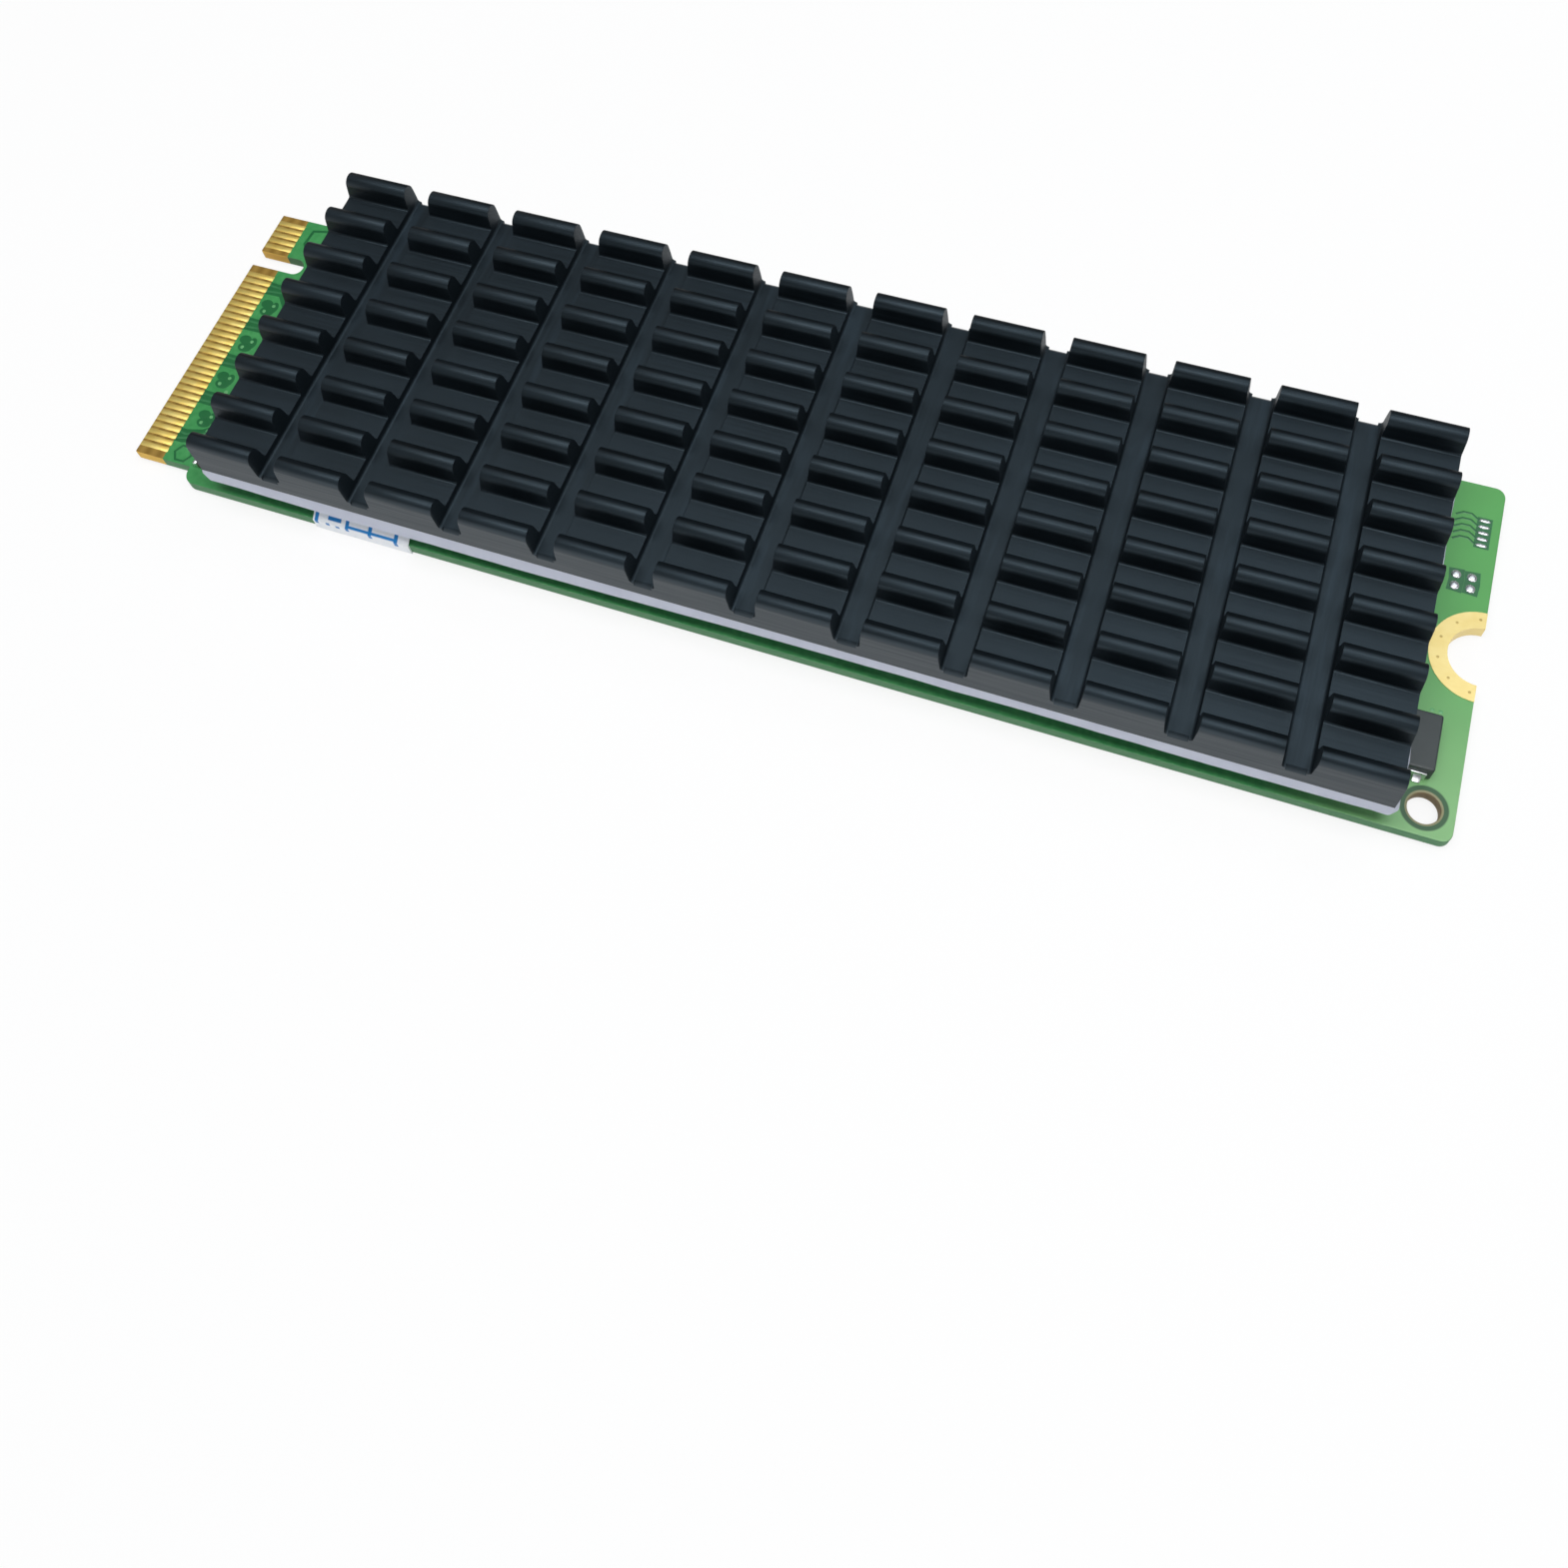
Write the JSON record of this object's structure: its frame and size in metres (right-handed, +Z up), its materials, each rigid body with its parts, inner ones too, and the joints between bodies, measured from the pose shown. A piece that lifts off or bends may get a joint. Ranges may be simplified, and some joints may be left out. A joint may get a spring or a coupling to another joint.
{
  "type": "ssd heat sink",
  "caption": "Plug-in solid-state drive card with a flat black heat sink of cross-cut fins stuck over its chips by a soft thermal pad.",
  "frame": {"origin": "middle of the card's underside, on the plane that it lies on", "axes": "+X from the edge contacts to the screw notch, +Y to the short contact tab, +Z up through the fins"},
  "size_m": [0.08, 0.0221, 0.0064],
  "materials": {
    "black_anodised_aluminium": "matt black anodised, extruded and cross-milled",
    "silicone_pad": "soft matt silicone sheet",
    "green_solder_mask": "glossy solder mask on glass-fibre laminate",
    "gold_plating": "smooth gold plating",
    "package_epoxy": "fine matt mould compound",
    "ferrite": "matt pressed ferrite",
    "tinned_metal": "bright tin",
    "tantalum_epoxy": "matt moulded epoxy",
    "tan_ceramic": "smooth fired ceramic",
    "resistor_film": "glazed black film",
    "label_paper": "satin coated paper"
  },
  "bodies": {
    "root": {"heat_sink": "black_anodised_aluminium", "thermal_pad": "silicone_pad", "circuit_board": "green_solder_mask", "top_edge_contacts": "gold_plating", "bottom_edge_contacts": "gold_plating", "screw_notch_plating": "gold_plating", "controller_chip": "package_epoxy", "cache_memory_chip": "package_epoxy", "inner_flash_chip": "package_epoxy", "outer_flash_chip": "package_epoxy", "power_chip": "package_epoxy", "power_inductors": "ferrite", "inductor_terminals": "tinned_metal", "clock_crystal": "tinned_metal", "tantalum_capacitor": "tantalum_epoxy", "tantalum_terminals": "tinned_metal", "bulk_capacitor": "tan_ceramic", "bulk_capacitor_terminals": "tinned_metal", "ceramic_capacitors": "tan_ceramic", "capacitor_terminals": "tinned_metal", "chip_resistors": "resistor_film", "resistor_terminals": "tinned_metal", "test_pads": "tinned_metal", "bare_pads": "tinned_metal", "underside_test_pads": "tinned_metal", "seal_label": "label_paper"}
  },
  "joints": []
}
